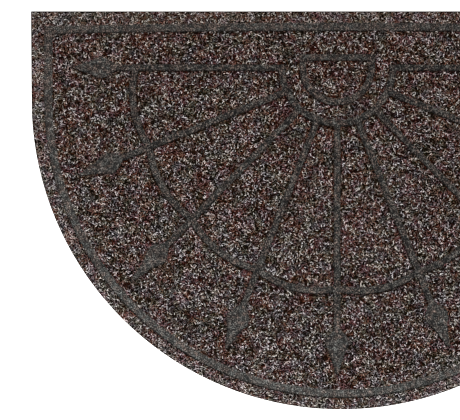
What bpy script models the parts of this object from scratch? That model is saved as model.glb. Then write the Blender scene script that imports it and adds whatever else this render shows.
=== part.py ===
"""Half-round doormat: a one-piece mat of curled fibre with a fanlight pattern pressed into it.

Metres, +Z up. The mat lies on z = 0, with the origin under the middle of its width and depth.
X runs along the straight back edge, and +Y points to that edge, which lies against the threshold.
"""

import math

import bmesh
import bpy
from mathutils import Vector

# The mat as cut: a half round with short straight sides behind it
WIDTH = 0.917
STRAIGHT = 0.1305  # length of the straight sides
FLARE = 0.0008  # each back corner stands this much further out than the half round
THICKNESS = 0.0095
RIM_ROUND = 0.0015  # the top edge, worn round
RADIUS = WIDTH / 2
DEPTH = RADIUS + STRAIGHT
BACK_Y = DEPTH / 2
ROUND_Y = BACK_Y - STRAIGHT  # where the half round's centre lies

# Border channel: how far its middle lies inside the mat's edges
SIDE_INSET = 0.0250
BORDER_Y = ROUND_Y - 0.0015  # its round was pressed a little further forward than the mat was cut
BACK_INSET = 0.0229
CORNER_DIP = 0.0052  # the back channel runs this much further in at its corners
BORDER_HALF = 0.0065  # half its width at the top

# Fanlight: spokes spread from one point, round a hub and across a scalloped arch
FAN_X = -0.0063  # pressed a little to the left of the mat's middle
FAN_Y = 0.2060
LEVEL_Y = 0.2112  # the two level spokes
LEVEL_BEARINGS = (0.0, 180.0)
SPOKE_HALF = 0.0052
SCALLOP_RISE = 0.013  # how far each scallop bulges beyond its chord
SCALLOP_HALF = 0.0054
SCALLOP_GAP = 0.001  # a scallop stops this short of its spoke's middle
CORNER_SHORT = 0.0007  # at a corner, each line stops this short of the other's far edge

# Hub: a half ring round an inner D
HUB_X = -0.0060
HUB_Y = 0.2110
RING_RADIUS = 0.0823
D_RADIUS = 0.0508
D_BACK = 0.0155  # the D's straight line lies this far behind its arc's centre
HUB_HALF = 0.0055

# Depths of the pressed lines, each a little different, so that no two floors meet at one level
BORDER_DEPTH = 0.0039
BACK_DEPTH = 0.0038
SPEAR_DEPTH = 0.0037
SPOKE_DEPTH = 0.0035
SCALLOP_DEPTH = 0.0033
HUB_DEPTH = 0.0034
D_LINE_DEPTH = 0.0032
FLOOR_CHAMFER = 0.0015  # the slope where a wall meets the floor
CUT_ABOVE = 0.003  # how far every cutter stands above the mat

# One row for each spoke, clockwise from the left end: bearing below level in degrees, the
# distances from the fan's centre to the corner where its two scallops meet, to the widest part
# of its spearhead and to its point, and half the spearhead's width there
SPOKES = (
    {"bearing": 0.0, "arch": 0.298, "spear": 0.350, "tip": 0.389, "half": 0.0165},
    {"bearing": 22.0, "arch": 0.300, "spear": 0.366, "tip": 0.411, "half": 0.0165},
    {"bearing": 45.6, "arch": 0.307, "spear": 0.382, "tip": 0.437, "half": 0.0165},
    {"bearing": 68.2, "arch": 0.317, "spear": 0.396, "tip": 0.442, "half": 0.0180},
    {"bearing": 90.0, "arch": 0.322, "spear": 0.404, "tip": 0.449, "half": 0.0180},
    {"bearing": 112.1, "arch": 0.320, "spear": 0.393, "tip": 0.440, "half": 0.0180},
    {"bearing": 134.5, "arch": 0.309, "spear": 0.382, "tip": 0.437, "half": 0.0165},
    {"bearing": 158.0, "arch": 0.300, "spear": 0.366, "tip": 0.411, "half": 0.0165},
    {"bearing": 180.0, "arch": 0.298, "spear": 0.350, "tip": 0.389, "half": 0.0165},
)

# Half of a spearhead's outline: place along the spoke from its widest part, and the half width
# as a share of the widest. Beyond the neck the place is a share of the way to the point.
NECK = 0.022
SPEAR_BODY = (
    {"along": -0.025, "wide": 0.21},
    {"along": -0.018, "wide": 0.48},
    {"along": -0.013, "wide": 0.73},
    {"along": -0.008, "wide": 0.90},
    {"along": -0.002, "wide": 1.00},
    {"along": 0.004, "wide": 0.94},
    {"along": 0.010, "wide": 0.77},
    {"along": 0.016, "wide": 0.59},
    {"along": NECK, "wide": 0.48},
)
SPEAR_POINT = (
    {"share": 0.5, "wide": 0.31},
    {"share": 1.0, "wide": 0.12},
)

ROUND_STEPS = 72  # points round the mat's half circle
BORDER_STEPS = 64
HUB_STEPS = 20
SCALLOP_STEPS = 8
BACK_STEPS = 8

WELD = 1e-5  # corners closer than this are one
FLAT_ANGLE = math.radians(1.0)  # faces that turn less than this are one level face
RIM_ANGLE = math.radians(60.0)  # the top face and the sides meet at more than this

BODY_COLOUR = (0.045, 0.028, 0.022, 1.0)
BODY_ROUGHNESS = 0.95


def clear_scene():
    for thing in list(bpy.data.objects):
        bpy.data.objects.remove(thing, do_unlink=True)


def collection(name):
    made = bpy.data.collections.new(name)
    bpy.context.scene.collection.children.link(made)
    return made


def felted_fibre():
    """Dark brown needle-punched fibre: matt, with no shine at all."""
    made = bpy.data.materials.new("felted_fibre")
    made.use_nodes = True
    shader = made.node_tree.nodes["Principled BSDF"]
    shader.inputs["Base Color"].default_value = BODY_COLOUR
    shader.inputs["Roughness"].default_value = BODY_ROUGHNESS
    shader.inputs["Metallic"].default_value = 0.0
    made.diffuse_color = BODY_COLOUR
    return made


def on_arc(centre, radius, bearing):
    """The point at this bearing, in degrees below level and clockwise from the left end."""
    turned = math.radians(bearing)
    return Vector(
        (centre[0] - radius * math.cos(turned), centre[1] - radius * math.sin(turned))
    )


def half_circle(centre, radius, steps):
    return [on_arc(centre, radius, 180 * i / steps) for i in range(steps + 1)]


def curve_through(name, points, height, cyclic):
    """A curve object of straight stretches through points, lying level at this height."""
    data = bpy.data.curves.new(name, "CURVE")
    line = data.splines.new("POLY")
    line.points.add(len(points) - 1)
    for knot, place in zip(line.points, points):
        knot.co = (place[0], place[1], height, 1.0)
    line.use_cyclic_u = cyclic
    return bpy.data.objects.new(name, data)


def as_mesh(curve, into):
    """Turns a curve object into a closed mesh object of the same name, in the same place."""
    bpy.context.scene.collection.objects.link(curve)
    graph = bpy.context.evaluated_depsgraph_get()
    mesh = bpy.data.meshes.new_from_object(curve.evaluated_get(graph))
    work = bmesh.new()
    work.from_mesh(mesh)
    bmesh.ops.remove_doubles(work, verts=work.verts, dist=WELD)
    bmesh.ops.recalc_face_normals(work, faces=work.faces)
    work.to_mesh(mesh)
    work.free()
    name = curve.name
    place = curve.matrix_world.copy()
    bpy.data.objects.remove(curve, do_unlink=True)
    made = bpy.data.objects.new(name, mesh)
    made.matrix_world = place
    into.objects.link(made)
    return made


def plate(name, outline, thickness, into):
    """A level plate with this outline, its underside at z = 0."""
    flat = curve_through(name, outline, 0.0, True)
    flat.data.dimensions = "2D"
    flat.data.fill_mode = "BOTH"
    flat.data.extrude = thickness / 2
    flat.location.z = thickness / 2
    return as_mesh(flat, into)


def as_cutter(made):
    made.hide_render = True
    made.display_type = "WIRE"
    return made


def channel_section(half, depth):
    """The section of a pressed line: a flat floor, a short slope, and upright walls."""
    floor = half - FLOOR_CHAMFER
    corners = (
        (-half, CUT_ABOVE),
        (-half, FLOOR_CHAMFER - depth),
        (-floor, -depth),
        (floor, -depth),
        (half, FLOOR_CHAMFER - depth),
        (half, CUT_ABOVE),
    )
    section = curve_through("section", corners, 0.0, True)
    section.data.dimensions = "2D"
    section.data.fill_mode = "NONE"
    return section


def channel(name, points, half, depth, into):
    """A cutter that sweeps the section along points in the mat's top face."""
    section = channel_section(half, depth)
    line = curve_through(name, points, THICKNESS, False)
    line.data.dimensions = "3D"
    line.data.twist_mode = "Z_UP"
    line.data.bevel_mode = "OBJECT"
    line.data.bevel_object = section
    line.data.use_fill_caps = True
    made = as_cutter(as_mesh(line, into))
    bpy.data.objects.remove(section, do_unlink=True)
    return made


def mat_outline():
    """Back corners, and the half round between them, clockwise from the back left."""
    corner = RADIUS + FLARE
    front = half_circle((0.0, ROUND_Y), RADIUS, ROUND_STEPS)
    return [Vector((-corner, BACK_Y)), *front, Vector((corner, BACK_Y))]


def rounded_rim(body):
    """Rounds the top edge alone: its edges carry the weight that the Bevel reads."""
    mesh = body.data
    weights = mesh.attributes.new("bevel_weight_edge", "FLOAT", "EDGE")
    work = bmesh.new()
    work.from_mesh(mesh)
    bmesh.ops.dissolve_limit(
        work, angle_limit=FLAT_ANGLE, verts=work.verts, edges=work.edges
    )
    layer = work.edges.layers.float[weights.name]
    for edge in work.edges:
        on_top = all(corner.co.z > 0 for corner in edge.verts)
        if on_top and edge.calc_face_angle(0.0) > RIM_ANGLE:
            edge[layer] = 1.0
    work.to_mesh(mesh)
    work.free()
    rim = body.modifiers.new("rounded_rim", "BEVEL")
    rim.limit_method = "WEIGHT"
    rim.width = RIM_ROUND
    rim.segments = 2


def border_channels(into):
    inner = RADIUS - SIDE_INSET
    start_y = BACK_Y - BACK_INSET - CORNER_DIP + BORDER_HALF - CORNER_SHORT
    front = half_circle((0.0, BORDER_Y), inner, BORDER_STEPS)
    path = [Vector((-inner, start_y)), *front, Vector((inner, start_y))]
    channel("border_front", path, BORDER_HALF, BORDER_DEPTH, into)
    reach = inner + BORDER_HALF - CORNER_SHORT
    back = []
    for i in range(2 * BACK_STEPS + 1):
        share = i / BACK_STEPS - 1
        dip = CORNER_DIP * share * share
        back.append(Vector((reach * share, BACK_Y - BACK_INSET - dip)))
    channel("border_back", back, BORDER_HALF, BACK_DEPTH, into)


def fan_point(row, distance):
    """A point on this spoke. The level spokes lie a little behind the fan's centre."""
    place = on_arc((FAN_X, FAN_Y), distance, row["bearing"])
    if row["bearing"] in LEVEL_BEARINGS:
        place.y = LEVEL_Y
    return place


def spoke_channels(into):
    for number, row in enumerate(SPOKES):
        inner = RING_RADIUS - (HUB_Y - FAN_Y) * math.sin(math.radians(row["bearing"]))
        if row["bearing"] in LEVEL_BEARINGS:
            inner -= HUB_HALF - CORNER_SHORT
        ends = [fan_point(row, inner), fan_point(row, row["spear"])]
        channel(f"spoke_{number}", ends, SPOKE_HALF, SPOKE_DEPTH, into)


def spear_outline(length, half):
    """A spearhead along +X about its widest part, with its point at this length."""
    side = [Vector((row["along"], row["wide"] * half)) for row in SPEAR_BODY]
    for row in SPEAR_POINT:
        along = NECK + (length - NECK) * row["share"]
        side.append(Vector((along, row["wide"] * half)))
    other = [Vector((place.x, -place.y)) for place in reversed(side)]
    return side + other


def spearheads(into):
    """Cutters with the spearhead's outline, drawn in by the chamfer at their floor."""
    for number, row in enumerate(SPOKES):
        outline = spear_outline(row["tip"] - row["spear"], row["half"])
        flat = curve_through(f"spear_{number}", outline, 0.0, True)
        flat.data.dimensions = "2D"
        flat.data.fill_mode = "BOTH"
        flat.data.bevel_depth = FLOOR_CHAMFER
        flat.data.bevel_resolution = 0
        flat.data.offset = -FLOOR_CHAMFER
        flat.data.extrude = (SPEAR_DEPTH + CUT_ABOVE) / 2 - FLOOR_CHAMFER
        middle = fan_point(row, row["spear"])
        height = THICKNESS + (CUT_ABOVE - SPEAR_DEPTH) / 2
        flat.location = (middle.x, middle.y, height)
        flat.rotation_euler.z = math.pi + math.radians(row["bearing"])
        as_cutter(as_mesh(flat, into))


def bulged(start, end, rise, steps):
    """Points from start to end on the arc that rises this far to the left of the chord."""
    chord = end - start
    length = chord.length
    along = chord / length
    outward = Vector((-along.y, along.x))
    radius = (length * length / 4 + rise * rise) / (2 * rise)
    half_angle = math.asin(length / 2 / radius)
    centre = (start + end) / 2 + outward * (rise - radius)
    points = []
    for i in range(steps + 1):
        turned = half_angle * (2 * i / steps - 1)
        points.append(
            centre + radius * (along * math.sin(turned) + outward * math.cos(turned))
        )
    return points


def scalloped_arch(into):
    """One scallop between each two spokes."""
    for number, (row, following) in enumerate(zip(SPOKES, SPOKES[1:])):
        start = fan_point(following, following["arch"])
        end = fan_point(row, row["arch"])
        short = (end - start).normalized() * SCALLOP_GAP
        points = bulged(start + short, end - short, SCALLOP_RISE, SCALLOP_STEPS)
        channel(f"scallop_{number}", points, SCALLOP_HALF, SCALLOP_DEPTH, into)


def hub_channels(into):
    centre = (HUB_X, HUB_Y)
    ring = half_circle(centre, RING_RADIUS, HUB_STEPS)
    end_y = LEVEL_Y + SPOKE_HALF - CORNER_SHORT
    ring_ends = [Vector((place.x, end_y)) for place in (ring[0], ring[-1])]
    channel("hub_ring", [ring_ends[0], *ring, ring_ends[1]], HUB_HALF, HUB_DEPTH, into)
    inner = half_circle(centre, D_RADIUS, HUB_STEPS)
    side_y = HUB_Y + D_BACK + HUB_HALF - CORNER_SHORT
    sides = [Vector((place.x, side_y)) for place in (inner[0], inner[-1])]
    channel("hub_d_arc", [sides[0], *inner, sides[1]], HUB_HALF, HUB_DEPTH, into)
    reach = D_RADIUS + HUB_HALF - CORNER_SHORT
    line = [Vector((HUB_X + side * reach, HUB_Y + D_BACK)) for side in (-1, 1)]
    channel("hub_d_line", line, HUB_HALF, D_LINE_DEPTH, into)


def main():
    clear_scene()
    parts = collection("half_round_doormat")
    cutters = collection("pressed_lines")
    body = plate("doormat", mat_outline(), THICKNESS, parts)
    body.data.materials.append(felted_fibre())
    rounded_rim(body)
    border_channels(cutters)
    spoke_channels(cutters)
    spearheads(cutters)
    scalloped_arch(cutters)
    hub_channels(cutters)
    pressed = body.modifiers.new("pressed_lines", "BOOLEAN")
    pressed.operation = "DIFFERENCE"
    pressed.solver = "EXACT"
    pressed.operand_type = "COLLECTION"
    pressed.collection = cutters


main()
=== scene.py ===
"""Half-round doormat: a needle-punched felt with a fanlight pressed into its curled pile.

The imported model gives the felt's place and the pressed lines. Geometry Nodes punch the curls of six yarns
into its raised fields, and every material is made of nodes. The mat lies on a pale studio floor.
"""
import math

import bmesh
import bpy
from bpy.props import FloatProperty, FloatVectorProperty, IntProperty, PointerProperty
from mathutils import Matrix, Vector


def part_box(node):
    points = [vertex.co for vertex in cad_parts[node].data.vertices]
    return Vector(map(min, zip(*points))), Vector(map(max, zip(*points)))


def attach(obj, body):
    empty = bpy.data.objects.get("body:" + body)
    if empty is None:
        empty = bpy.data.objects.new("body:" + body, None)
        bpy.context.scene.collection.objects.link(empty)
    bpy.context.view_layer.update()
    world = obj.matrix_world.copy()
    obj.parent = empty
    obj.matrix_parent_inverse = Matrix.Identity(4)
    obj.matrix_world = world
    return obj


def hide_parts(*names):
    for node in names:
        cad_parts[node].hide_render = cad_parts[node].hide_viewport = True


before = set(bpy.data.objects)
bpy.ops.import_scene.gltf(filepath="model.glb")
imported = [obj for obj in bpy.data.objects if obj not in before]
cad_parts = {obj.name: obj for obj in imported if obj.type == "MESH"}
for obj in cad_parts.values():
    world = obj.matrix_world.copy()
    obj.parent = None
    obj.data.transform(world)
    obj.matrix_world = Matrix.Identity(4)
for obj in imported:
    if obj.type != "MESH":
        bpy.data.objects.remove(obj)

bl_info = {
    "name": "Half-round doormat",
    "version": (1, 0, 0),
    "blender": (4, 5, 0),
    "location": "View3D > Sidebar > Doormat",
    "description": "Makes a half-round doormat of curled fibre with a fanlight pressed into it",
    "category": "Add Mesh",
}

NODE = "doormat"
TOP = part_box(NODE)[1].z
WELD = 1e-6  # corners closer than this are one

# The solid's faces are told apart by how far below the top they reach.
LEVEL = 0.0001  # faces and edges no deeper than this are level with the top
WORN_EDGE = 0.00155  # the mat's worn edge is shallower, and every pressed line's wall deeper
SPEAR_WALL = 0.0021  # the walls of spearheads are deeper, and so are the border's
BORDER_WALL = 0.00225  # only the border's walls are deeper
LINE_FLOOR = 0.0028  # every pressed line's floor is deeper, and so is the slope down to it
BORDER_FLOOR = 0.00385  # only the border's round part is deeper
# The felt shader paints shade on the slopes that this marks.
SLOPE_SHADE_MARK = 0.0012  # a slope's depth is told as this much less, by which the felt shader knows it
FOOT = 0.001  # a face that comes this near the floor is a side or the underside

# How strongly a pressed line darkens the yarns drawn beside it: painted shade of the line's edge
BORDER_SHADE = 0.25
LINE_SHADE = 1.0
SPEAR_SHADE = 2.0

# The pale and the red patches are two layers of one noise, about 25 mm across.
PATCHES = {"Scale": 40.0, "Detail": 2.0}
PALE_LAYER = 0.0
RED_LAYER = 1.0

# The export bakes a piece through the UV map of this name, so the yarns bring it with them.
YARN_MAP = "OFBake"
SHADES = 4  # steps of red, of tan and of tone in a yarn's dye
SHADES_END = SHADES - 0.001  # a draw stays just short of a further step
STRIPS = SHADES ** 3  # strips of the map, one for each mix of those steps

# Each yarn takes the places whose pale and red draws lie in its ranges: rust where the red draw is high,
# slate where it is low, and the others by the pale draw. vivid says how far a yarn's dyes differ.
LOWEST = -9.0
HIGHEST = 9.0
ANY = (LOWEST, HIGHEST)
BROWN = (0.13, 0.84)
YARNS = (
    {"name": "umber", "pale": (LOWEST, 0.28), "red": BROWN, "vivid": 1.9},
    {"name": "cocoa", "pale": (0.28, 0.54), "red": BROWN, "vivid": 0.75},
    {"name": "rust", "pale": ANY, "red": (0.84, HIGHEST), "vivid": 0.7},
    {"name": "slate", "pale": ANY, "red": (LOWEST, 0.13), "vivid": 0.7},
    {"name": "stone", "pale": (0.54, 0.78), "red": BROWN, "vivid": 0.36},
    {"name": "mist", "pale": (0.78, HIGHEST), "red": BROWN, "vivid": 0.2},
)
CROWD = 700000.0  # places tried on a square metre, far more than the spacing leaves room for

FLOOR_REACH = 30.0  # half the floor's side
KEY_PLACE = (-0.5, -1.35, 1.7)
KEY_AIM = (-0.1, 0.0, 0.0)
# The photograph looks straight down here, and shows this much of the mat's top from side to side.
VIEW_MIDDLE = (-0.1647, 0.0007)
VIEW_WIDTH = 0.6797


def linear(colour):
    """An sRGB hex colour as linear red, green, blue and alpha."""
    parts = [int(colour[i:i + 2], 16) / 255 for i in (0, 2, 4)]
    return (*(c / 12.92 if c <= 0.04045 else ((c + 0.055) / 1.055) ** 2.4 for c in parts), 1.0)


def scaled(colour, by):
    """A linear colour made lighter or darker."""
    return (*(min(c * by, 1.0) for c in colour[:3]), 1.0)


def colour_prop(name, description, default):
    """A colour for a property group, given as sRGB hex."""
    return FloatVectorProperty(name=name, description=description, default=linear(default),
                               subtype="COLOR", size=4, min=0.0, max=1.0)


def length_prop(name, description, default):
    """A length for a property group, in metres."""
    return FloatProperty(name=name, description=description, default=default,
                         min=0.0, unit="LENGTH", precision=5)


class DoormatBodySettings(bpy.types.PropertyGroup):
    """Sizes and colours of the felt body."""

    pressed: length_prop("Pile height", "How far the felt under the pile lies below the mat's top", 0.0020)
    ground: colour_prop("Pile ground", "Felt that shows between the curls", "24170f")
    felt: colour_prop("Pressed felt", "Smooth felt in the pressed lines", "2c2a28")
    edge: colour_prop("Cut edge", "Felt where the mat is cut out", "2c2622")
    under: colour_prop("Underside", "Back of the mat", "26241f")


class DoormatPileSettings(bpy.types.PropertyGroup):
    """Sizes and colours of the curled yarns."""

    spacing: length_prop("Spacing", "Least distance between two curls' middles", 0.00183)
    thickness: length_prop("Yarn thickness", "Thickness of a curl of yarn at its middle", 0.00118)
    shortest: length_prop("Shortest curl", "Length of the shortest curls along the yarn", 0.0040)
    longest: length_prop("Longest curl", "Length of the longest curls along the yarn", 0.0070)
    rise: length_prop("Rise", "How high a curl's middle stands above its ends", 0.0023)
    overhang: length_prop("Overhang", "How far a curl reaches past the edge of its field at most", 0.0024)
    seed: IntProperty(name="Seed", description="Start of the random draws", default=7, min=0)
    umber: colour_prop("Umber yarn", "Darkest of the six yarns", "2b1910")
    cocoa: colour_prop("Cocoa yarn", "Middle brown yarn", "5d4b46")
    rust: colour_prop("Rust yarn", "Dull red-brown yarn", "5f4740")
    slate: colour_prop("Slate yarn", "Grey-brown yarn", "5b514d")
    stone: colour_prop("Stone yarn", "Grey-beige yarn", "8d817c")
    mist: colour_prop("Mist yarn", "Palest of the six yarns", "bab1ae")


class DoormatStageSettings(bpy.types.PropertyGroup):
    """Floor, light and lens."""

    floor: colour_prop("Floor", "Plain pale floor", "f4f3f1")
    glow: FloatProperty(name="Glow", description="Light that the floor gives off by itself",
                        default=0.85, min=0.0)
    key: FloatProperty(name="Key light", description="Power of the soft light in front of the mat",
                       default=79.0, min=0.0, unit="POWER")
    fill: FloatProperty(name="Fill", description="Strength of the even light from all round",
                        default=0.45, min=0.0)
    lens: FloatProperty(name="Lens", description="Focal length of the camera in millimetres",
                        default=120.0, min=20.0, unit="CAMERA")


def add(tree, kind, inputs=None, **settings):
    """Adds a node with its settings.

    inputs gives each socket, by name or number, a value or another node's output.
    """
    node = tree.nodes.new(kind)
    for name, value in settings.items():
        setattr(node, name, value)
    for key, value in (inputs or {}).items():
        if isinstance(value, bpy.types.NodeSocket):
            tree.links.new(value, node.inputs[key])
        else:
            node.inputs[key].default_value = value
    return node


def ramp_stops(node, stops):
    """Gives a colour ramp its stops, as (place, linear colour) pairs."""
    elements = node.color_ramp.elements
    while len(elements) > 1:
        elements.remove(elements[-1])
    elements[0].position, elements[0].color = stops[0]
    for place, colour in stops[1:]:
        elements.new(place).color = colour


def new_material(name):
    """A new node material, its tree, and the tree's output node."""
    material = bpy.data.materials.new(name)
    material.use_nodes = True
    material.node_tree.nodes.clear()
    return material, material.node_tree, add(material.node_tree, "ShaderNodeOutputMaterial")


def pile_ground_felt(colour):
    """Needle-punched polypropylene felt with its loops left standing.

    Between the curls the eye meets the lower loops: worm-like ridges about 1 mm thick and 3 mm long, dark and
    matt.
    """
    material, tree, out = new_material("pile_ground_felt")
    place = add(tree, "ShaderNodeTexCoord").outputs["Object"]
    # Bends of 5 mm push the 3 mm ridges about by up to 2 mm, so that they curl as loops do.
    bend = add(tree, "ShaderNodeTexNoise", {"Vector": place, "Scale": 200.0, "Detail": 1.0})
    moved = add(tree, "ShaderNodeVectorMath", {0: bend.outputs["Color"], 1: (0.5, 0.5, 0.5)},
                operation="SUBTRACT")
    bent = add(tree, "ShaderNodeVectorMath", {0: moved.outputs[0], 1: (0.004, 0.004, 0.004), 2: place},
               operation="MULTIPLY_ADD")
    loops = add(tree, "ShaderNodeTexNoise", {"Vector": bent.outputs[0], "Scale": 330.0, "Detail": 1.0},
                noise_type="RIDGED_MULTIFRACTAL", normalize=True)
    ramp = add(tree, "ShaderNodeValToRGB", {0: loops.outputs[0]})
    ramp_stops(ramp, [(0.25, scaled(colour, 0.2)), (0.5, scaled(colour, 0.6)), (0.68, scaled(colour, 2.0)),
                      (0.85, scaled(colour, 4.0))])
    # The red patches are those of the rust yarn, so this noise is the one that the curls are drawn by.
    patch = add(tree, "ShaderNodeTexNoise", {"Vector": place, "W": RED_LAYER, **PATCHES},
                noise_dimensions="4D")
    tint = add(tree, "ShaderNodeValToRGB", {0: patch.outputs[0]})
    ramp_stops(tint, [(0.35, (0.7, 0.95, 0.95, 1.0)), (0.5, (1.0, 1.0, 1.0, 1.0)),
                      (0.64, (1.9, 1.0, 0.8, 1.0))])
    toned = add(tree, "ShaderNodeVectorMath", {0: ramp.outputs[0], 1: tint.outputs[0]}, operation="MULTIPLY")
    bump = add(tree, "ShaderNodeBump", {"Strength": 1.0, "Distance": 0.0006, "Height": loops.outputs[0]})
    skin = add(tree, "ShaderNodeBsdfPrincipled",
               {"Base Color": toned.outputs[0], "Roughness": 0.85, "Specular IOR Level": 0.02,
                "Normal": bump.outputs[0]})
    tree.links.new(skin.outputs[0], out.inputs[0])
    return material


def pressed_felt(colour):
    """Polypropylene felt pressed flat by a hot die.

    The fibres lie matted and smooth: a slate grey with a fine 1 mm speckle, a few lighter fibres and a faint
    gloss.
    """
    material, tree, out = new_material("pressed_felt")
    place = add(tree, "ShaderNodeTexCoord").outputs["Object"]
    grain = add(tree, "ShaderNodeTexNoise",
                {"Vector": place, "Scale": 760.0, "Detail": 1.0, "Roughness": 0.6})
    blotch = add(tree, "ShaderNodeTexNoise", {"Vector": place, "Scale": 120.0, "Detail": 2.0})
    speck = add(tree, "ShaderNodeMath", {0: blotch.outputs[0], 1: 0.2, 2: grain.outputs[0]},
                operation="MULTIPLY_ADD")
    centred = add(tree, "ShaderNodeMath", {0: speck.outputs[0], 1: 0.638}, operation="SUBTRACT")
    # The border is pressed deepest, 3.9 mm, where the fibres lie closest. Those of a shallow line stand more
    # apart, with darker gaps between them.
    depth = add(tree, "ShaderNodeAttribute", attribute_name="depth").outputs["Fac"]
    apart = add(tree, "ShaderNodeMapRange",
                {"Value": depth, "From Min": 0.0033, "From Max": 0.0038, "To Min": 4.0, "To Max": 1.65},
                interpolation_type="SMOOTHSTEP")
    spread = add(tree, "ShaderNodeMath", {0: centred.outputs[0], 1: apart.outputs[0], 2: 0.5},
                 operation="MULTIPLY_ADD")
    ramp = add(tree, "ShaderNodeValToRGB", {0: spread.outputs[0]})
    ramp_stops(ramp, [(0.2, scaled(colour, 0.06)), (0.42, scaled(colour, 0.45)), (0.55, scaled(colour, 1.4)),
                      (0.72, scaled(colour, 6.0)), (0.95, scaled(colour, 13.0))])
    # The dye differs by patches of 3 to 8 mm, and the colour is a little warmer towards the back.
    patch = add(tree, "ShaderNodeTexNoise", {"Vector": place, "Scale": 130.0, "Detail": 2.0})
    back = add(tree, "ShaderNodeSeparateXYZ", {0: place}).outputs[1]
    warmer = add(tree, "ShaderNodeMath", {0: back, 1: 0.15, 2: patch.outputs[0]}, operation="MULTIPLY_ADD")
    tint = add(tree, "ShaderNodeValToRGB", {0: warmer.outputs[0]})
    ramp_stops(tint, [(0.36, (0.9, 1.02, 1.06, 1.0)), (0.5, (1.0, 1.0, 1.0, 1.0)),
                      (0.64, (1.16, 0.98, 0.93, 1.0))])
    tinted = add(tree, "ShaderNodeVectorMath", {0: ramp.outputs[0], 1: tint.outputs[0]}, operation="MULTIPLY")
    # Painted shade: the shallower lines, the narrow ones, get darker floors for the closer shade of their
    # walls, and the deep, wide border the palest. Sockets 6 to 10 are value, from and to as vectors.
    shallow, deepest = (0.54, 0.502, 0.481), (1.62, 1.60, 1.59)
    deep = add(tree, "ShaderNodeMapRange",
               {6: depth, 7: (0.0034,) * 3, 8: (0.0042,) * 3, 9: shallow, 10: deepest},
               data_type="FLOAT_VECTOR", interpolation_type="SMOOTHSTEP")
    toned = add(tree, "ShaderNodeVectorMath", {0: tinted.outputs[0], 1: deep.outputs[1]},
                operation="MULTIPLY")
    # Painted shade: a shallow line's slope, where its floor turns up into its wall, is drawn darker.
    slope = add(tree, "ShaderNodeMapRange",
                {"Value": depth, "From Min": 0.0020, "From Max": 0.0031, "To Min": 0.66, "To Max": 1.0})
    shaded = add(tree, "ShaderNodeVectorMath", {0: toned.outputs[0], "Scale": slope.outputs[0]},
                 operation="SCALE")
    bump = add(tree, "ShaderNodeBump", {"Strength": 0.8, "Distance": 0.0003, "Height": grain.outputs[0]})
    skin = add(tree, "ShaderNodeBsdfPrincipled",
               {"Base Color": shaded.outputs[0], "Roughness": 0.7, "Specular IOR Level": 0.15,
                "Normal": bump.outputs[0]})
    tree.links.new(skin.outputs[0], out.inputs[0])
    return material


def cut_felt(colour):
    """The same felt where a blade cut the mat out.

    Cut fibre ends lie in thin level layers, darker than the top, with pale ends here and there.
    """
    material, tree, out = new_material("cut_felt")
    place = add(tree, "ShaderNodeTexCoord").outputs["Object"]
    # Layers 1 mm thick that run 4 mm along the edge.
    flat = add(tree, "ShaderNodeVectorMath", {0: place, 1: (1.0, 1.0, 3.5)}, operation="MULTIPLY")
    layers = add(tree, "ShaderNodeTexNoise",
                 {"Vector": flat.outputs[0], "Scale": 280.0, "Detail": 3.0, "Roughness": 0.65})
    ramp = add(tree, "ShaderNodeValToRGB", {0: layers.outputs[0]})
    ramp_stops(ramp, [(0.35, scaled(colour, 0.4)), (0.52, colour), (0.66, scaled(colour, 2.4)),
                      (0.78, scaled(colour, 5.0))])
    bump = add(tree, "ShaderNodeBump", {"Strength": 1.0, "Distance": 0.0005, "Height": layers.outputs[0]})
    skin = add(tree, "ShaderNodeBsdfPrincipled",
               {"Base Color": ramp.outputs[0], "Roughness": 0.85, "Specular IOR Level": 0.25,
                "Normal": bump.outputs[0]})
    tree.links.new(skin.outputs[0], out.inputs[0])
    return material


def scrim_backing(colour):
    """Plain needled back of the felt, calendered flat.

    An even dark cloth with a 2 mm needle grain, duller than the top.
    """
    material, tree, out = new_material("scrim_backing")
    place = add(tree, "ShaderNodeTexCoord").outputs["Object"]
    needle = add(tree, "ShaderNodeTexVoronoi", {"Vector": place, "Scale": 500.0}, feature="F1")
    grain = needle.outputs["Distance"]
    ramp = add(tree, "ShaderNodeValToRGB", {0: grain})
    ramp_stops(ramp, [(0.1, scaled(colour, 0.6)), (0.5, colour), (0.9, scaled(colour, 1.5))])
    bump = add(tree, "ShaderNodeBump", {"Strength": 0.7, "Distance": 0.0003, "Height": grain})
    skin = add(tree, "ShaderNodeBsdfPrincipled",
               {"Base Color": ramp.outputs[0], "Roughness": 0.9, "Specular IOR Level": 0.2,
                "Normal": bump.outputs[0]})
    tree.links.new(skin.outputs[0], out.inputs[0])
    return material


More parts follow.
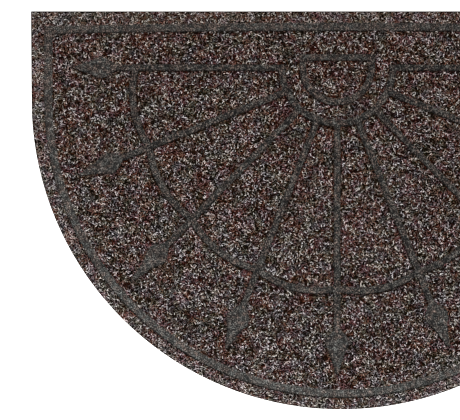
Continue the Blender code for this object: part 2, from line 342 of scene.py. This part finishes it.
def crimped_yarn(name, colour, vivid):
    """Solution-dyed polypropylene yarn, crimped and punched into the felt.

    Matt fibre with a slight sheen. The map's first axis holds 64 strips of one colour: four steps from grey
    to red, each with four from blue to tan, each with four from dark to pale. Its second axis is the curl's
    length, with streaks of single fibres. vivid says how far the dyes differ.
    """
    material, tree, out = new_material(name)
    where = add(tree, "ShaderNodeUVMap", uv_map=YARN_MAP).outputs[0]
    across = add(tree, "ShaderNodeSeparateXYZ", {0: where})
    reds = [(1 + vivid * r, 1 + vivid * g, 1 + vivid * g, 1.0)
            for r, g in ((-0.21, 0.05), (-0.07, 0.02), (0.08, -0.02), (0.31, -0.07))]
    tans = [(1.0, 1.0, 1 + vivid * b, 1.0) for b in (0.32, 0.09, -0.08, -0.25)]
    tones = [(t, t, t, 1.0) for t in (0.68, 0.97, 1.25, 1.47)]
    shade = tuple(colour[:3])
    for number, stops in enumerate((reds, tans, tones)):
        spot = add(tree, "ShaderNodeMath", {0: across.outputs[0], 1: float(SHADES ** number)},
                   operation="MULTIPLY")
        part = add(tree, "ShaderNodeMath", {0: spot.outputs[0]}, operation="FRACT")
        ramp = add(tree, "ShaderNodeValToRGB", {0: part.outputs[0]})
        ramp.color_ramp.interpolation = "CONSTANT"
        ramp_stops(ramp, [(place / SHADES, stop) for place, stop in enumerate(stops)])
        mixed = add(tree, "ShaderNodeVectorMath", {0: shade, 1: ramp.outputs[0]}, operation="MULTIPLY")
        shade = mixed.outputs[0]
    # Four streaks across each strip of the map and three along it.
    strands = add(tree, "ShaderNodeVectorMath", {0: where, 1: (STRIPS * 4.0, 3.0, 1.0)}, operation="MULTIPLY")
    streak = add(tree, "ShaderNodeTexNoise", {"Vector": strands.outputs[0], "Scale": 1.0, "Detail": 1.0})
    streaked = add(tree, "ShaderNodeMapRange",
                   {"Value": streak.outputs[0], "From Min": 0.3, "From Max": 0.7, "To Min": 0.8,
                    "To Max": 1.2})
    # Painted shade: both ends go down into the felt, and are drawn darker for the shade that they lie in
    # there.
    end_shade = (0.25, 0.22, 0.2, 1.0)
    in_the_open = (1.0, 1.0, 1.0, 1.0)
    ends = add(tree, "ShaderNodeValToRGB", {0: across.outputs[1]})
    ramp_stops(ends, [(0.05, end_shade), (0.35, in_the_open), (0.65, in_the_open), (0.95, end_shade)])
    end_shaded = add(tree, "ShaderNodeVectorMath", {0: shade, 1: ends.outputs[0]}, operation="MULTIPLY")
    toned = add(tree, "ShaderNodeVectorMath", {0: end_shaded.outputs[0], "Scale": streaked.outputs[0]},
                operation="SCALE")
    skin = add(tree, "ShaderNodeBsdfPrincipled",
               {"Base Color": toned.outputs[0], "Roughness": 0.6, "Specular IOR Level": 0.04})
    tree.links.new(skin.outputs[0], out.inputs[0])
    return material


def studio_floor(colour, glow):
    """White opal acrylic lit from below, as on a photographer's light table.

    It looks plain white and takes the mat's shadow away, so that the mat is seen cut out.
    """
    material, tree, out = new_material("studio_floor")
    skin = add(tree, "ShaderNodeBsdfPrincipled",
               {"Base Color": colour, "Roughness": 0.9, "Specular IOR Level": 0.1, "Emission Color": colour,
                "Emission Strength": glow})
    tree.links.new(skin.outputs[0], out.inputs[0])
    return material


def new_object(name, data):
    """An object at the origin, in the scene's own collection."""
    made = bpy.data.objects.new(name, data)
    bpy.context.scene.collection.objects.link(made)
    return made


def merged_copy():
    """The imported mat's mesh with its loose triangles joined, as a bmesh."""
    mesh = bmesh.new()
    mesh.from_mesh(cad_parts[NODE].data)
    bmesh.ops.remove_doubles(mesh, verts=mesh.verts, dist=WELD)
    mesh.normal_update()
    return mesh


def joined_faces(start):
    """A face and all that are joined to it across their edges."""
    known = {start}
    border = [start]
    while border:
        found = {g for f in border for e in f.edges for g in e.link_faces} - known
        known |= found
        border = list(found)
    return known


def field_mesh(height):
    """The raised fields' level faces as a flat sheet at one height, which the curls are punched into.

    Its attribute "rim" is 1 on the strip outside the border line, whose pile is the palest. "pressed" tells,
    on each edge that a line runs along, how strongly the line darkens the yarns beside it: painted shade of
    its edge.
    """
    mesh = merged_copy()
    pressed = mesh.edges.layers.float.new("pressed")
    for e in mesh.edges:
        if min(v.co.z for v in e.verts) > TOP - LEVEL:
            lowest = min(v.co.z for f in e.link_faces for v in f.verts)
            if lowest < TOP - BORDER_WALL:
                e[pressed] = BORDER_SHADE
            elif lowest < TOP - SPEAR_WALL:
                e[pressed] = SPEAR_SHADE
            elif lowest < TOP - WORN_EDGE:
                e[pressed] = LINE_SHADE
    others = [f for f in mesh.faces if f.normal.z < 0.99 or f.calc_center_median().z < TOP - LEVEL]
    bmesh.ops.delete(mesh, geom=others, context="FACES")
    rim = mesh.faces.layers.float.new("rim")
    for f in joined_faces(min(mesh.faces, key=lambda f: f.calc_center_median().x)):
        f[rim] = 1.0
    for v in mesh.verts:
        v.co.z = height
    made = bpy.data.meshes.new("field")
    mesh.to_mesh(made)
    mesh.free()
    return made


def beside_lines(tree, field, place):
    """The field's edges along pressed lines, and how a place lies to them.

    Returns the edges, the outputs that find the nearest point on them, 1 where that is on a spearhead, and
    how strongly the yarns there are darkened, as painted shade of the line's edge. That shade fades out over
    3 to 5 mm beside a line.
    """
    darkening = add(tree, "GeometryNodeInputNamedAttribute", {"Name": "pressed"}, data_type="FLOAT").outputs[0]
    lines = add(tree, "GeometryNodeSeparateGeometry", {0: field, 1: darkening}, domain="EDGE").outputs[0]
    near = add(tree, "GeometryNodeProximity", {"Geometry": lines, "Sample Position": place},
               target_element="EDGES").outputs
    nearest = add(tree, "GeometryNodeSampleNearest", {"Geometry": lines, "Sample Position": place},
                  domain="EDGE")
    strength = add(tree, "GeometryNodeSampleIndex",
                   {"Geometry": lines, "Value": darkening, "Index": nearest.outputs[0]},
                   data_type="FLOAT", domain="EDGE").outputs[0]
    most = add(tree, "ShaderNodeMath", {0: strength, 1: 1.0}, operation="MINIMUM")
    spear = add(tree, "ShaderNodeMapRange",
                {"Value": strength, "From Min": LINE_SHADE, "From Max": SPEAR_SHADE, "To Min": 0.0,
                 "To Max": 1.0}).outputs[0]
    wide = add(tree, "ShaderNodeMath", {0: spear, 1: 0.0020, 2: 0.0032}, operation="MULTIPLY_ADD")
    edge_shade = add(tree, "ShaderNodeMapRange",
               {"Value": near["Distance"], "From Min": 0.0, "From Max": wide.outputs[0],
                "To Min": most.outputs[0], "To Max": 0.0},
               interpolation_type="SMOOTHSTEP").outputs[0]
    return lines, near, spear, edge_shade


def pale_draw_by_place(tree, draw, place, near, spear, edge_shade):
    """A pale draw, about 0 for the darkest yarn and 1 for the palest, as the rim and the lines' painted shade
    change it.
    """
    # Outside the border line the yarns are paler and more alike.
    rim = add(tree, "GeometryNodeInputNamedAttribute", {"Name": "rim"}, data_type="FLOAT").outputs[0]
    alike = add(tree, "ShaderNodeMath", {0: draw, 1: -0.4, 2: 0.35}, operation="MULTIPLY_ADD")
    draw = add(tree, "ShaderNodeMath", {0: rim, 1: alike.outputs[0], 2: draw},
               operation="MULTIPLY_ADD").outputs[0]
    # Painted shade: by a line the draw is lowered, darker yarns standing for the shade of its edge, and least
    # behind it, where that edge faces the key light in front. By a spearhead it is drawn in to the middle
    # yarns.
    evened = add(tree, "ShaderNodeMath", {0: spear, 1: -0.6}, operation="MULTIPLY")
    gap = add(tree, "ShaderNodeVectorMath", {0: place, 1: near["Position"]}, operation="SUBTRACT")
    behind = add(tree, "ShaderNodeSeparateXYZ", {0: gap.outputs[0]}).outputs[1]
    by_line = add(tree, "ShaderNodeMapRange",
                  {"Value": behind, "From Min": 0.0, "From Max": 0.0014, "To Min": -0.38, "To Max": -0.17})
    lowered = add(tree, "ShaderNodeMath", {0: spear, 1: 0.56, 2: by_line.outputs[0]},
                  operation="MULTIPLY_ADD")
    change = add(tree, "ShaderNodeMath", {0: draw, 1: evened.outputs[0], 2: lowered.outputs[0]},
                 operation="MULTIPLY_ADD")
    return add(tree, "ShaderNodeMath", {0: edge_shade, 1: change.outputs[0], 2: draw},
               operation="MULTIPLY_ADD").outputs[0]


def yarn_places(tree, given, place, near, spear, edge_shade):
    """The yarn's own places: of all those that are evenly spread, the ones whose draws lie in its ranges."""
    spread = add(tree, "GeometryNodeDistributePointsOnFaces",
                 {"Mesh": given["Field"], "Distance Min": given["Spacing"], "Density Max": CROWD,
                  "Seed": given["Seed"]}, distribute_method="POISSON")
    wants = []
    for low, high, layer, share, seed in (("Pale From", "Pale To", PALE_LAYER, 0.3, 11),
                                          ("Red From", "Red To", RED_LAYER, 1.4, 12)):
        # The noise adds its share to a place's draw, which makes paler, darker and redder patches.
        drawn = add(tree, "FunctionNodeRandomValue", {"Seed": seed}, data_type="FLOAT")
        noise = add(tree, "ShaderNodeTexNoise", {"Vector": place, "W": layer, **PATCHES},
                    noise_dimensions="4D")
        centred = add(tree, "ShaderNodeMath", {0: noise.outputs[0], 1: 0.5}, operation="SUBTRACT")
        draw = add(tree, "ShaderNodeMath", {0: centred.outputs[0], 1: share, 2: drawn.outputs[1]},
                   operation="MULTIPLY_ADD").outputs[0]
        if layer == PALE_LAYER:
            draw = pale_draw_by_place(tree, draw, place, near, spear, edge_shade)
        above = add(tree, "FunctionNodeCompare", {0: draw, 1: given[low]}, operation="GREATER_EQUAL")
        below = add(tree, "FunctionNodeCompare", {0: draw, 1: given[high]}, operation="LESS_THAN")
        wants.append(add(tree, "FunctionNodeBooleanMath", {0: above.outputs[0], 1: below.outputs[0]},
                         operation="AND").outputs[0])
    both = add(tree, "FunctionNodeBooleanMath", {0: wants[0], 1: wants[1]}, operation="AND")
    return add(tree, "GeometryNodeSeparateGeometry", {0: spread.outputs["Points"], 1: both.outputs[0]},
               domain="POINT").outputs[0]


def map_strip(tree, place, tone):
    """The number of a curl's strip of the map, with its drawn tone as the finest step.

    It is redder or greener, and bluer or yellower, by patches of 3 to 30 mm, and warmer towards the back.
    """
    patches = add(tree, "ShaderNodeTexNoise",
                  {"Vector": place, "Scale": 62.0, "Detail": 2.0, "Roughness": 0.6})
    hues = add(tree, "ShaderNodeSeparateXYZ", {0: patches.outputs["Color"]})
    back = add(tree, "ShaderNodeSeparateXYZ", {0: place}).outputs[1]
    for number, step in ((1, SHADES), (0, SHADES * SHADES)):
        warmer = add(tree, "ShaderNodeMath", {0: back, 1: 0.1, 2: hues.outputs[number]},
                     operation="MULTIPLY_ADD")
        level = add(tree, "ShaderNodeMapRange",
                    {"Value": warmer.outputs[0], "From Min": 0.36, "From Max": 0.64, "To Min": 0.0,
                     "To Max": SHADES_END})
        whole = add(tree, "ShaderNodeMath", {0: level.outputs[0]}, operation="FLOOR")
        tone = add(tree, "ShaderNodeMath", {0: whole.outputs[0], 1: float(step), 2: tone},
                   operation="MULTIPLY_ADD").outputs[0]
    return tone


def drawn_places(tree, given, points, place, near):
    """The yarn's places with each curl's own draws stored on them, before a line is put there."""
    draws = {}
    for name, low, high, seed in (
            ("heading", 0.0, math.tau, 21),  # which way it lies
            ("turn", 0.7, 4.2, 22),  # how far it bends from end to end, in radians
            ("long", given["Shortest"], given["Longest"], 23),
            ("phase", 0.0, math.tau, 24),  # where the wave across it starts
            ("wave", 0.0, 0.0009, 25),  # how far that wave swings
            ("rise", 0.45, 1.0, 26),  # how much of the full rise its middle has
            ("tone", 0.0, SHADES_END, 27),
            ("stray", 0.0, 1.0, 28)):
        draws[name] = add(tree, "FunctionNodeRandomValue", {2: low, 3: high, "Seed": seed},
                          data_type="FLOAT").outputs[1]
    # How far it may reach past its field: little for most, and more over a pressed line than over the edge.
    few = add(tree, "ShaderNodeMath", {0: draws["stray"], 1: 2.5}, operation="POWER")
    farther = add(tree, "ShaderNodeMapRange",
                  {"Value": near["Distance"], "From Min": 0.0, "From Max": 0.008, "To Min": 1.9,
                   "To Max": 1.0})
    farthest = add(tree, "ShaderNodeMath", {0: given["Overhang"], 1: farther.outputs[0]},
                   operation="MULTIPLY")
    least = add(tree, "ShaderNodeMapRange",
                {"Value": near["Distance"], "From Min": 0.0, "From Max": 0.008, "To Min": 0.0003,
                 "To Max": 0.0014})
    reach = add(tree, "ShaderNodeMath", {0: few.outputs[0], 1: farthest.outputs[0], 2: least.outputs[0]},
                operation="MULTIPLY_ADD")
    way = add(tree, "ShaderNodeCombineXYZ", {0: draws["heading"], 1: draws["turn"], 2: draws["long"]})
    swing = add(tree, "ShaderNodeCombineXYZ", {0: draws["phase"], 1: draws["wave"], 2: draws["rise"]})
    for name, value, kind in (("root", place, "FLOAT_VECTOR"), ("way", way.outputs[0], "FLOAT_VECTOR"),
                              ("swing", swing.outputs[0], "FLOAT_VECTOR"),
                              ("tone", map_strip(tree, place, draws["tone"]), "FLOAT"),
                              ("reach", reach.outputs[0], "FLOAT")):
        points = add(tree, "GeometryNodeStoreNamedAttribute",
                     {"Geometry": points, "Name": name, "Value": value},
                     data_type=kind, domain="POINT").outputs[0]
    return points


def stored(tree, names, kind):
    """The attributes of these names, as outputs."""
    return [add(tree, "GeometryNodeInputNamedAttribute", {"Name": name}, data_type=kind).outputs[0]
            for name in names]


def bent_places(tree, along, root, way, phase, wave):
    """Where a curl's points lie: on an arc of its turn and length round its root, with a wave across it."""
    heading, turn, long = add(tree, "ShaderNodeSeparateXYZ", {0: way}).outputs
    middle = add(tree, "ShaderNodeMath", {0: along, 1: 0.5}, operation="SUBTRACT")
    angle = add(tree, "ShaderNodeMath", {0: middle.outputs[0], 1: turn}, operation="MULTIPLY")
    radius = add(tree, "ShaderNodeMath", {0: long, 1: turn}, operation="DIVIDE")
    sine = add(tree, "ShaderNodeMath", {0: angle.outputs[0]}, operation="SINE")
    cosine = add(tree, "ShaderNodeMath", {0: angle.outputs[0]}, operation="COSINE")
    # The arc crosses the root's level at 0.3 of its turn to each side, so that it lies evenly about the root.
    crossing = add(tree, "ShaderNodeMath", {0: turn, 1: 0.3}, operation="MULTIPLY")
    balance = add(tree, "ShaderNodeMath", {0: crossing.outputs[0]}, operation="COSINE")
    bow = add(tree, "ShaderNodeMath", {0: balance.outputs[0], 1: cosine.outputs[0]}, operation="SUBTRACT")
    arc_x = add(tree, "ShaderNodeMath", {0: radius.outputs[0], 1: sine.outputs[0]}, operation="MULTIPLY")
    arc_y = add(tree, "ShaderNodeMath", {0: radius.outputs[0], 1: bow.outputs[0]}, operation="MULTIPLY")
    beat = add(tree, "ShaderNodeMath", {0: along, 1: 1.3 * math.tau, 2: phase}, operation="MULTIPLY_ADD")
    beating = add(tree, "ShaderNodeMath", {0: beat.outputs[0]}, operation="SINE")
    waved = add(tree, "ShaderNodeMath", {0: beating.outputs[0], 1: wave, 2: arc_y.outputs[0]},
                operation="MULTIPLY_ADD")
    lying = add(tree, "ShaderNodeCombineXYZ", {0: arc_x.outputs[0], 1: waved.outputs[0]})
    turned = add(tree, "ShaderNodeVectorRotate", {"Vector": lying.outputs[0], "Angle": heading},
                 rotation_type="Z_AXIS")
    return add(tree, "ShaderNodeVectorMath", {0: turned.outputs[0], 1: root}, operation="ADD").outputs[0]


def held_places(tree, field, reached):
    """Those places, with each one that lies past its field pressed back to within the curl's own reach.

    Returns them, and how far past the field each one still lies.
    """
    nearest = add(tree, "GeometryNodeProximity", {"Geometry": field, "Sample Position": reached},
                  target_element="FACES").outputs
    past = add(tree, "ShaderNodeVectorMath", {0: reached, 1: nearest["Position"]}, operation="SUBTRACT")
    allowed, = stored(tree, ("reach",), "FLOAT")
    room = add(tree, "ShaderNodeMath", {0: allowed, 1: nearest["Distance"]}, operation="ADD")
    share = add(tree, "ShaderNodeMath", {0: allowed, 1: room.outputs[0]}, operation="DIVIDE")
    pressed = add(tree, "ShaderNodeVectorMath", {0: past.outputs[0], "Scale": share.outputs[0]},
                  operation="SCALE")
    held = add(tree, "ShaderNodeVectorMath", {0: nearest["Position"], 1: pressed.outputs[0]}, operation="ADD")
    over = add(tree, "ShaderNodeVectorMath", {0: pressed.outputs[0]}, operation="LENGTH")
    return held.outputs[0], over.outputs["Value"]


def curl_heights(tree, given, lines, held, over, humped, rise):
    """How high a curl's points stand: its ends are punched into the felt, and its middle stands up.

    It stands lower beside a pressed line, and falls over an edge that it reaches past.
    """
    rounded = add(tree, "ShaderNodeMath", {0: humped, 1: 0.6}, operation="POWER")
    here = add(tree, "GeometryNodeProximity", {"Geometry": lines, "Sample Position": held},
               target_element="EDGES")
    slope = add(tree, "ShaderNodeMapRange",
                {"Value": here.outputs["Distance"], "From Min": 0.0, "From Max": 0.0035, "To Min": 0.35,
                 "To Max": 1.0})
    sloped = add(tree, "ShaderNodeMath", {0: slope.outputs[0], 1: rise}, operation="MULTIPLY")
    raised = add(tree, "ShaderNodeMath", {0: given["Rise"], 1: sloped.outputs[0]}, operation="MULTIPLY")
    lift = add(tree, "ShaderNodeMath", {0: rounded.outputs[0], 1: raised.outputs[0], 2: -0.0004},
               operation="MULTIPLY_ADD")
    fall = add(tree, "ShaderNodeMath", {0: over, 1: 1.6}, operation="MULTIPLY")
    landed = add(tree, "ShaderNodeMath", {0: fall.outputs[0], 1: 0.0015}, operation="MINIMUM")
    return add(tree, "ShaderNodeMath", {0: lift.outputs[0], 1: landed.outputs[0]},
               operation="SUBTRACT").outputs[0]


def yarn_skin(tree, curls, along, humped, thickness):
    """The curls' lines as closed yarn, which thins to a point at each end.

    Three sides are enough at this size. Its attributes side and along tell a place on the yarn.
    """
    half = add(tree, "ShaderNodeMath", {0: thickness, 1: 0.5}, operation="MULTIPLY")
    full = add(tree, "ShaderNodeMath", {0: humped, 1: 0.5}, operation="POWER")
    thick = add(tree, "ShaderNodeMath", {0: half.outputs[0], 1: full.outputs[0]}, operation="MULTIPLY")
    ring = add(tree, "GeometryNodeCurvePrimitiveCircle", {"Resolution": 3, "Radius": 1.0})
    corner = add(tree, "GeometryNodeInputIndex")
    side = add(tree, "ShaderNodeMath", {0: corner.outputs[0], 1: 0.3, 2: 0.15}, operation="MULTIPLY_ADD")
    sided = add(tree, "GeometryNodeStoreNamedAttribute",
                {"Geometry": ring.outputs[0], "Name": "side", "Value": side.outputs[0]},
                data_type="FLOAT", domain="POINT")
    marked = add(tree, "GeometryNodeStoreNamedAttribute",
                 {"Geometry": curls, "Name": "along", "Value": along}, data_type="FLOAT", domain="POINT")
    skin = add(tree, "GeometryNodeCurveToMesh",
               {"Curve": marked.outputs[0], "Profile Curve": sided.outputs[0], "Scale": thick.outputs[0]})
    closed = add(tree, "GeometryNodeMergeByDistance", {"Geometry": skin.outputs[0], "Distance": WELD})
    return closed.outputs[0]


def mapped_yarn(tree, yarn):
    """The yarn with its map: the curl's side across its own strip, and its length along it."""
    tone, side, along = stored(tree, ("tone", "side", "along"), "FLOAT")
    strip = add(tree, "ShaderNodeMath", {0: tone}, operation="FLOOR")
    inside = add(tree, "ShaderNodeMath", {0: strip.outputs[0], 1: side}, operation="ADD")
    u = add(tree, "ShaderNodeMath", {0: inside.outputs[0], 1: float(STRIPS)}, operation="DIVIDE")
    v = add(tree, "ShaderNodeMath", {0: along, 1: 0.98, 2: 0.01}, operation="MULTIPLY_ADD")
    uv = add(tree, "ShaderNodeCombineXYZ", {0: u.outputs[0], 1: v.outputs[0]})
    return add(tree, "GeometryNodeStoreNamedAttribute",
               {"Geometry": yarn, "Name": YARN_MAP, "Value": uv.outputs[0]},
               data_type="FLOAT2", domain="CORNER").outputs[0]


def curl_tree():
    """Geometry Nodes that punch curls of one yarn into a field.

    For every yarn the tree draws the same places, and keeps those whose draws lie in the yarn's own ranges,
    so that the six yarns share the field out between them.
    """
    tree = bpy.data.node_groups.new("punched_curls", "GeometryNodeTree")
    face = tree.interface
    face.new_socket("Field", in_out="INPUT", socket_type="NodeSocketGeometry")
    for name in ("Spacing", "Yarn Thickness", "Shortest", "Longest", "Rise", "Overhang",
                 "Pale From", "Pale To", "Red From", "Red To"):
        face.new_socket(name, in_out="INPUT", socket_type="NodeSocketFloat")
    face.new_socket("Seed", in_out="INPUT", socket_type="NodeSocketInt")
    face.new_socket("Material", in_out="INPUT", socket_type="NodeSocketMaterial")
    face.new_socket("Curls", in_out="OUTPUT", socket_type="NodeSocketGeometry")
    given = add(tree, "NodeGroupInput").outputs

    place = add(tree, "GeometryNodeInputPosition").outputs[0]
    lines, near, spear, edge_shade = beside_lines(tree, given["Field"], place)
    points = yarn_places(tree, given, place, near, spear, edge_shade)
    points = drawn_places(tree, given, points, place, near)

    # A short line of five points is put on each place, and its points then go where the draws say.
    line = add(tree, "GeometryNodeCurvePrimitiveLine", {"End": (0.001, 0.0, 0.0)})
    jointed = add(tree, "GeometryNodeResampleCurve", {"Curve": line.outputs[0], "Count": 5})
    put = add(tree, "GeometryNodeInstanceOnPoints", {"Points": points, "Instance": jointed.outputs[0]})
    straight = add(tree, "GeometryNodeRealizeInstances", {0: put.outputs[0]})
    along = add(tree, "GeometryNodeSplineParameter").outputs["Factor"]
    root, way, swing = stored(tree, ("root", "way", "swing"), "FLOAT_VECTOR")
    phase, wave, rise = add(tree, "ShaderNodeSeparateXYZ", {0: swing}).outputs
    held, over = held_places(tree, given["Field"], bent_places(tree, along, root, way, phase, wave))

    # humped is 0 at both ends of a curl and 1 at its middle.
    rest = add(tree, "ShaderNodeMath", {0: 1.0, 1: along}, operation="SUBTRACT")
    hump = add(tree, "ShaderNodeMath", {0: along, 1: rest.outputs[0]}, operation="MULTIPLY")
    humped = add(tree, "ShaderNodeMath", {0: hump.outputs[0], 1: 4.0}, operation="MULTIPLY").outputs[0]
    up = add(tree, "ShaderNodeCombineXYZ", {2: curl_heights(tree, given, lines, held, over, humped, rise)})
    bent = add(tree, "ShaderNodeVectorMath", {0: held, 1: up.outputs[0]}, operation="ADD")
    curls = add(tree, "GeometryNodeSetPosition",
                {"Geometry": straight.outputs[0], "Position": bent.outputs[0]})
    yarn = yarn_skin(tree, curls.outputs[0], along, humped, given["Yarn Thickness"])
    smooth = add(tree, "GeometryNodeSetShadeSmooth", {0: mapped_yarn(tree, yarn)})
    real = add(tree, "GeometryNodeRealizeInstances", {0: smooth.outputs[0]})
    dyed = add(tree, "GeometryNodeSetMaterial", {"Geometry": real.outputs[0], "Material": given["Material"]})
    add(tree, "NodeGroupOutput", {0: dyed.outputs[0]})
    return tree


def plain_mesh(source, tree, inputs, name):
    """The mesh that a node tree makes on a source object, with no modifier left, and the source removed."""
    modifier = source.modifiers.new("curls", "NODES")
    modifier.node_group = tree
    sockets = {s.name: s.identifier for s in tree.interface.items_tree if s.in_out == "INPUT"}
    for key, value in inputs.items():
        modifier[sockets[key]] = value
    made = bpy.data.meshes.new_from_object(source.evaluated_get(bpy.context.evaluated_depsgraph_get()))
    made.name = name
    for spare in ("rim", "root", "way", "swing", "tone", "reach", "side", "along"):
        if spare in made.attributes:
            made.attributes.remove(made.attributes[spare])
    bpy.data.objects.remove(source)
    return made


class DOORMAT_OT_body(bpy.types.Operator):
    """Makes the felt body, with its pile ground, pressed lines, cut edge and back"""

    bl_idname = "doormat.body"
    bl_label = "Felt body"

    def execute(self, context):
        settings = context.scene.doormat_body
        mesh = merged_copy()
        # The top goes down by the pile's height, and the walls below it less and less.
        start = TOP - 0.0025
        for v in mesh.verts:
            v.co.z -= settings.pressed * max((v.co.z - start) / (TOP - start), 0.0)
        mesh.normal_update()
        depth = mesh.faces.layers.float.new("depth")
        for f in mesh.faces:
            lowest = min(v.co.z for v in f.verts)
            f[depth] = TOP - lowest
            # The slopes of all lines but the border's round part are marked, for the felt shader to paint
            # shade on them.
            if f.normal.z < 0.9 and lowest > TOP - BORDER_FLOOR:
                f[depth] -= SLOPE_SHADE_MARK
            if f.normal.z < -0.5:
                f.material_index = 3
            elif lowest < FOOT:
                f.material_index = 2
            elif lowest < TOP - LINE_FLOOR:
                f.material_index = 1
            else:
                f.material_index = 0
        made = bpy.data.meshes.new("mat_body")
        mesh.to_mesh(made)
        mesh.free()
        for material in (pile_ground_felt(settings.ground), pressed_felt(settings.felt),
                         cut_felt(settings.edge), scrim_backing(settings.under)):
            made.materials.append(material)
        body = new_object("mat_body", made)
        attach(body, "root")
        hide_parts(NODE)
        return {"FINISHED"}


class DOORMAT_OT_pile(bpy.types.Operator):
    """Punches the curls of the six yarns into the raised fields"""

    bl_idname = "doormat.pile"
    bl_label = "Curled pile"

    def execute(self, context):
        settings = context.scene.doormat_pile
        height = TOP - context.scene.doormat_body.pressed
        tree = curl_tree()
        for yarn in YARNS:
            colour = getattr(settings, yarn["name"])
            inputs = {
                "Spacing": settings.spacing,
                "Yarn Thickness": settings.thickness,
                "Shortest": settings.shortest,
                "Longest": settings.longest,
                "Rise": settings.rise,
                "Overhang": settings.overhang,
                "Pale From": yarn["pale"][0],
                "Pale To": yarn["pale"][1],
                "Red From": yarn["red"][0],
                "Red To": yarn["red"][1],
                "Seed": settings.seed,
                "Material": crimped_yarn(yarn["name"] + "_yarn", colour, yarn["vivid"]),
            }
            name = "pile_" + yarn["name"]
            source = new_object("source", field_mesh(height))
            piece = new_object(name, plain_mesh(source, tree, inputs, name))
            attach(piece, "root")
            print(name, "triangles", sum(len(p.vertices) - 2 for p in piece.data.polygons))
        return {"FINISHED"}


class DOORMAT_OT_stage(bpy.types.Operator):
    """Sets up the floor, the soft lights and the camera"""

    bl_idname = "doormat.stage"
    bl_label = "Stage"

    def execute(self, context):
        settings = context.scene.doormat_stage
        scene = context.scene
        mesh = bpy.data.meshes.new("floor")
        corners = [(x * FLOOR_REACH, y * FLOOR_REACH, 0.0) for x, y in ((-1, -1), (1, -1), (1, 1), (-1, 1))]
        mesh.from_pydata(corners, [], [(0, 1, 2, 3)])
        mesh.materials.append(studio_floor(settings.floor, settings.glow))
        new_object("floor", mesh)

        world = bpy.data.worlds.new("studio")
        world.use_nodes = True
        backdrop = world.node_tree.nodes["Background"]
        backdrop.inputs["Color"].default_value = linear("ffffff")
        # The backdrop itself looks white, though it lights the mat more faintly.
        seen = add(world.node_tree, "ShaderNodeLightPath").outputs["Is Camera Ray"]
        strength = add(world.node_tree, "ShaderNodeMapRange",
                       {"Value": seen, "From Min": 0.0, "From Max": 1.0, "To Min": settings.fill,
                        "To Max": 1.0})
        world.node_tree.links.new(strength.outputs[0], backdrop.inputs["Strength"])
        scene.world = world
        scene.view_settings.view_transform = "Standard"

        lamp = bpy.data.lights.new("key", "AREA")
        lamp.shape = "RECTANGLE"
        lamp.size = 1.4
        lamp.size_y = 0.9
        lamp.energy = settings.key
        key = new_object("key", lamp)
        key.location = KEY_PLACE
        key.rotation_euler = (Vector(KEY_AIM) - key.location).to_track_quat("-Z", "Y").to_euler()

        eye = bpy.data.cameras.new("camera")
        eye.lens = settings.lens
        eye.clip_end = 50.0
        camera = new_object("camera", eye)
        camera.location = (*VIEW_MIDDLE, TOP + VIEW_WIDTH * settings.lens / eye.sensor_width)
        scene.camera = camera
        return {"FINISHED"}


class DOORMAT_PT_panel(bpy.types.Panel):
    """Lists the settings and the makers of the doormat"""

    bl_idname = "DOORMAT_PT_panel"
    bl_label = "Half-round doormat"
    bl_space_type = "VIEW_3D"
    bl_region_type = "UI"
    bl_category = "Doormat"

    def draw(self, context):
        for settings, operator in ((context.scene.doormat_body, DOORMAT_OT_body),
                                   (context.scene.doormat_pile, DOORMAT_OT_pile),
                                   (context.scene.doormat_stage, DOORMAT_OT_stage)):
            box = self.layout.box()
            for name in settings.__annotations__:
                box.prop(settings, name)
            box.operator(operator.bl_idname)


GROUPS = (("doormat_body", DoormatBodySettings), ("doormat_pile", DoormatPileSettings),
          ("doormat_stage", DoormatStageSettings))
CLASSES = (DOORMAT_OT_body, DOORMAT_OT_pile, DOORMAT_OT_stage, DOORMAT_PT_panel)


def register():
    """Registers the settings, the makers and the panel."""
    for name, group in GROUPS:
        bpy.utils.register_class(group)
        setattr(bpy.types.Scene, name, PointerProperty(type=group))
    for each in CLASSES:
        bpy.utils.register_class(each)


def unregister():
    """Takes back what register did, last first."""
    for each in reversed(CLASSES):
        bpy.utils.unregister_class(each)
    for name, group in reversed(GROUPS):
        delattr(bpy.types.Scene, name)
        bpy.utils.unregister_class(group)


def main():
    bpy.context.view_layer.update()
    register()
    bpy.ops.doormat.stage()
    bpy.ops.doormat.body()
    bpy.ops.doormat.pile()


if __name__ == "__main__":
    main()
